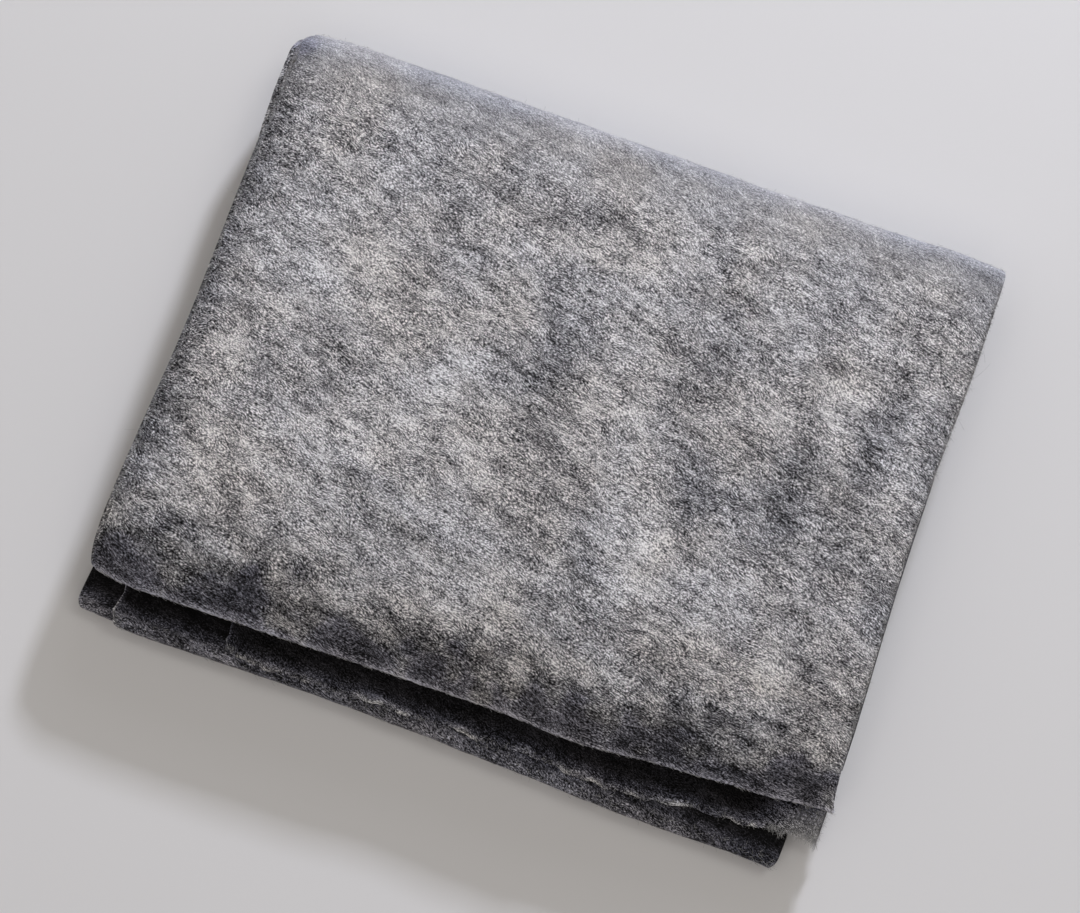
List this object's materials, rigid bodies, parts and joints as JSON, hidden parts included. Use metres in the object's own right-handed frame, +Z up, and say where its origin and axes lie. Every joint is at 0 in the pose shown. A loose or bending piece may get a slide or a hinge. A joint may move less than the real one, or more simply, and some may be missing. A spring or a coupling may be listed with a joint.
{
  "type": "folded length of fusible interfacing",
  "caption": "Flat packet of heathered grey nonwoven interfacing folded back and forth, with a rounded upper nose, an offset lower fold and a thin loose flap; lies flat on a table.",
  "frame": {"origin": "bottom centre of the bounding box, on the surface the packet lies on", "axes": "+X along the packet's long side, to the right seen from the front; +Y from the open front to the back fold; +Z up"},
  "size_m": [0.3064, 0.2634, 0.0372],
  "materials": {
    "charcoal_interfacing": "matte, fibrous and heathered"
  },
  "bodies": {
    "root": {"folded_interfacing": "charcoal_interfacing"}
  },
  "joints": []
}
